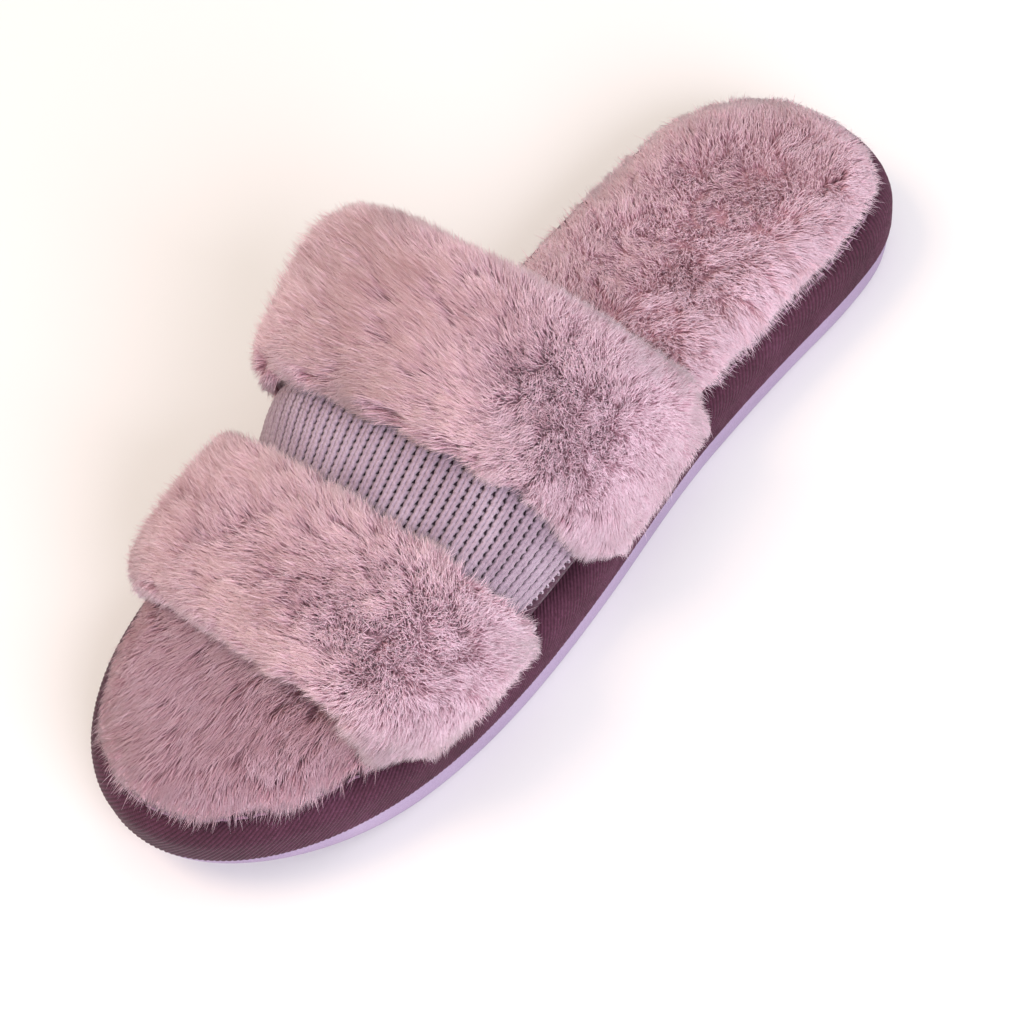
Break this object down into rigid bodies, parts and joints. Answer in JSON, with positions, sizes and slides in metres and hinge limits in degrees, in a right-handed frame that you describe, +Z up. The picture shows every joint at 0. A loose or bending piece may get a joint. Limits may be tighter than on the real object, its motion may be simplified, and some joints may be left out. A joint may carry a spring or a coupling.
{
  "type": "house slipper",
  "caption": "Open-toe, open-heel house slipper for a left foot: faux-fur footbed on a cloth-wrapped foam platform, two fur bands joined by an elastic knit panel.",
  "frame": {"origin": "on the ground under the middle of the sole's length", "axes": "+Z up, -Y toward the toe, +Y toward the heel, +X toward the outer (little toe) side"},
  "size_m": [0.0973, 0.25, 0.0803],
  "materials": {
    "outsole_foam": "matt moulded closed-cell foam rubber, lilac",
    "platform_foam": "matt closed-cell foam, off-white, hidden inside the wrap",
    "wrap_twill": "ribbed plum twill cloth with a faint sheen",
    "insole_board": "pressed fibre board",
    "padding_foam": "soft open-cell foam",
    "faux_fur": "dense plush faux fur, dusty pink, soft sheen at the tips",
    "lining_cloth": "brushed jersey, pale pink",
    "seam_thread": "twisted polyester sewing thread",
    "knit_yarn": "soft spun yarn in a ribbed stitch, lilac-grey",
    "elastic_cloth": "thin dark stretch cloth",
    "overlock_thread": "fine textured overlock thread"
  },
  "bodies": {
    "rear_foot": {"outsole_rear": "outsole_foam", "midsole_rear": "platform_foam", "platform_wrap_rear": "wrap_twill", "insole_board_rear": "insole_board", "footbed_foam_rear": "padding_foam", "footbed_fur_rear": "faux_fur", "edge_stitches_rear": "seam_thread", "rear_band_fur": "faux_fur", "rear_band_padding": "padding_foam", "rear_band_lining": "lining_cloth", "rear_band_tab_outer": "lining_cloth", "rear_band_tab_inner": "lining_cloth", "rear_band_stitches": "seam_thread"},
    "forefoot": {"outsole_fore": "outsole_foam", "midsole_fore": "platform_foam", "platform_wrap_fore": "wrap_twill", "insole_board_fore": "insole_board", "footbed_foam_fore": "padding_foam", "footbed_fur_fore": "faux_fur", "edge_stitches_fore": "seam_thread", "front_band_fur": "faux_fur", "front_band_padding": "padding_foam", "front_band_lining": "lining_cloth", "front_band_tab_outer": "lining_cloth", "front_band_tab_inner": "lining_cloth", "front_band_stitches": "seam_thread"},
    "knit": {"knit_panel": "knit_yarn", "knit_backing": "elastic_cloth", "knit_edge_overlock": "overlock_thread"}
  },
  "joints": [
    {"name": "toe_flex", "type": "hinge", "parent": "rear_foot", "child": "forefoot", "pos_m": [0, -0.0315, 0.029], "axis": [-0.9863, -0.165, 0], "range_deg": [0, 18]},
    {"name": "knit_flex", "type": "hinge", "parent": "rear_foot", "child": "knit", "pos_m": [0, -0.0315, 0.029], "axis": [-0.9863, -0.165, 0], "range_deg": [0, 9]}
  ],
  "couplings": [
    {"joint": "knit_flex", "follows": "toe_flex", "ratio": 0.5}
  ]
}
